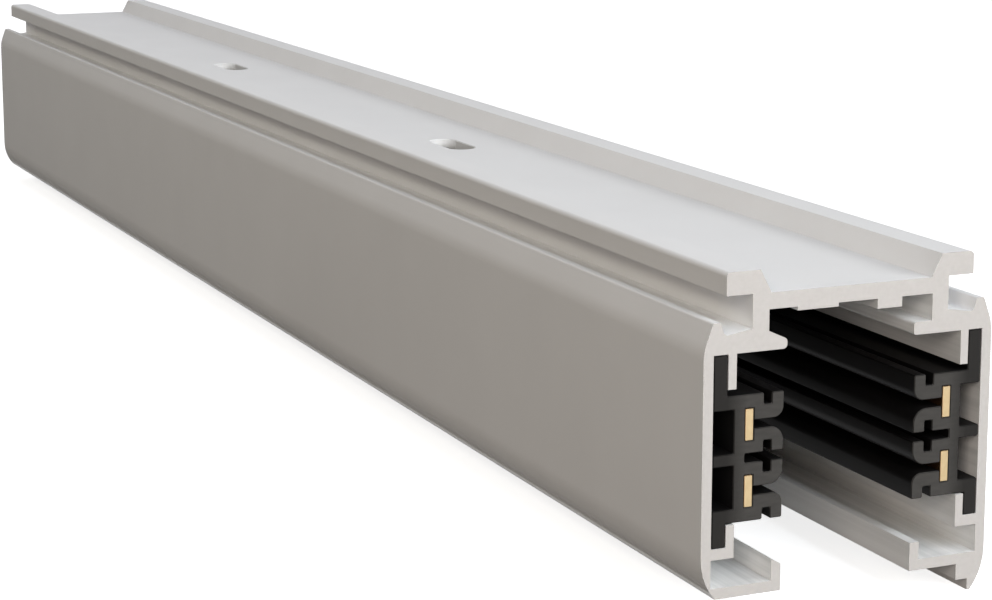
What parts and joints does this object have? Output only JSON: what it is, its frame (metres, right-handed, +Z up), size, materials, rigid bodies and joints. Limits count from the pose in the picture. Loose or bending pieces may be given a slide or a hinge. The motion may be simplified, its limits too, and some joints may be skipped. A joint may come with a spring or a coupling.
{
  "type": "lighting track busbar trunking",
  "caption": "Short white aluminium power track, open below, with black insulators and copper strips on both inner walls and slots in the top plate.",
  "frame": {"origin": "middle of the width and of the length, at the lowest point of the section", "axes": "+Z up, away from the open side; Y along the length, the pictured end at -Y; X across"},
  "size_m": [0.033, 0.302, 0.0356],
  "materials": {
    "coated_aluminium": "satin",
    "insulator_plastic": "satin",
    "conductor_copper": "satin"
  },
  "bodies": {
    "root": {"channel": "coated_aluminium", "insulator_left": "insulator_plastic", "insulator_right": "insulator_plastic", "conductor_left_upper": "conductor_copper", "conductor_left_lower": "conductor_copper", "conductor_right_upper": "conductor_copper", "conductor_right_lower": "conductor_copper"}
  },
  "joints": []
}
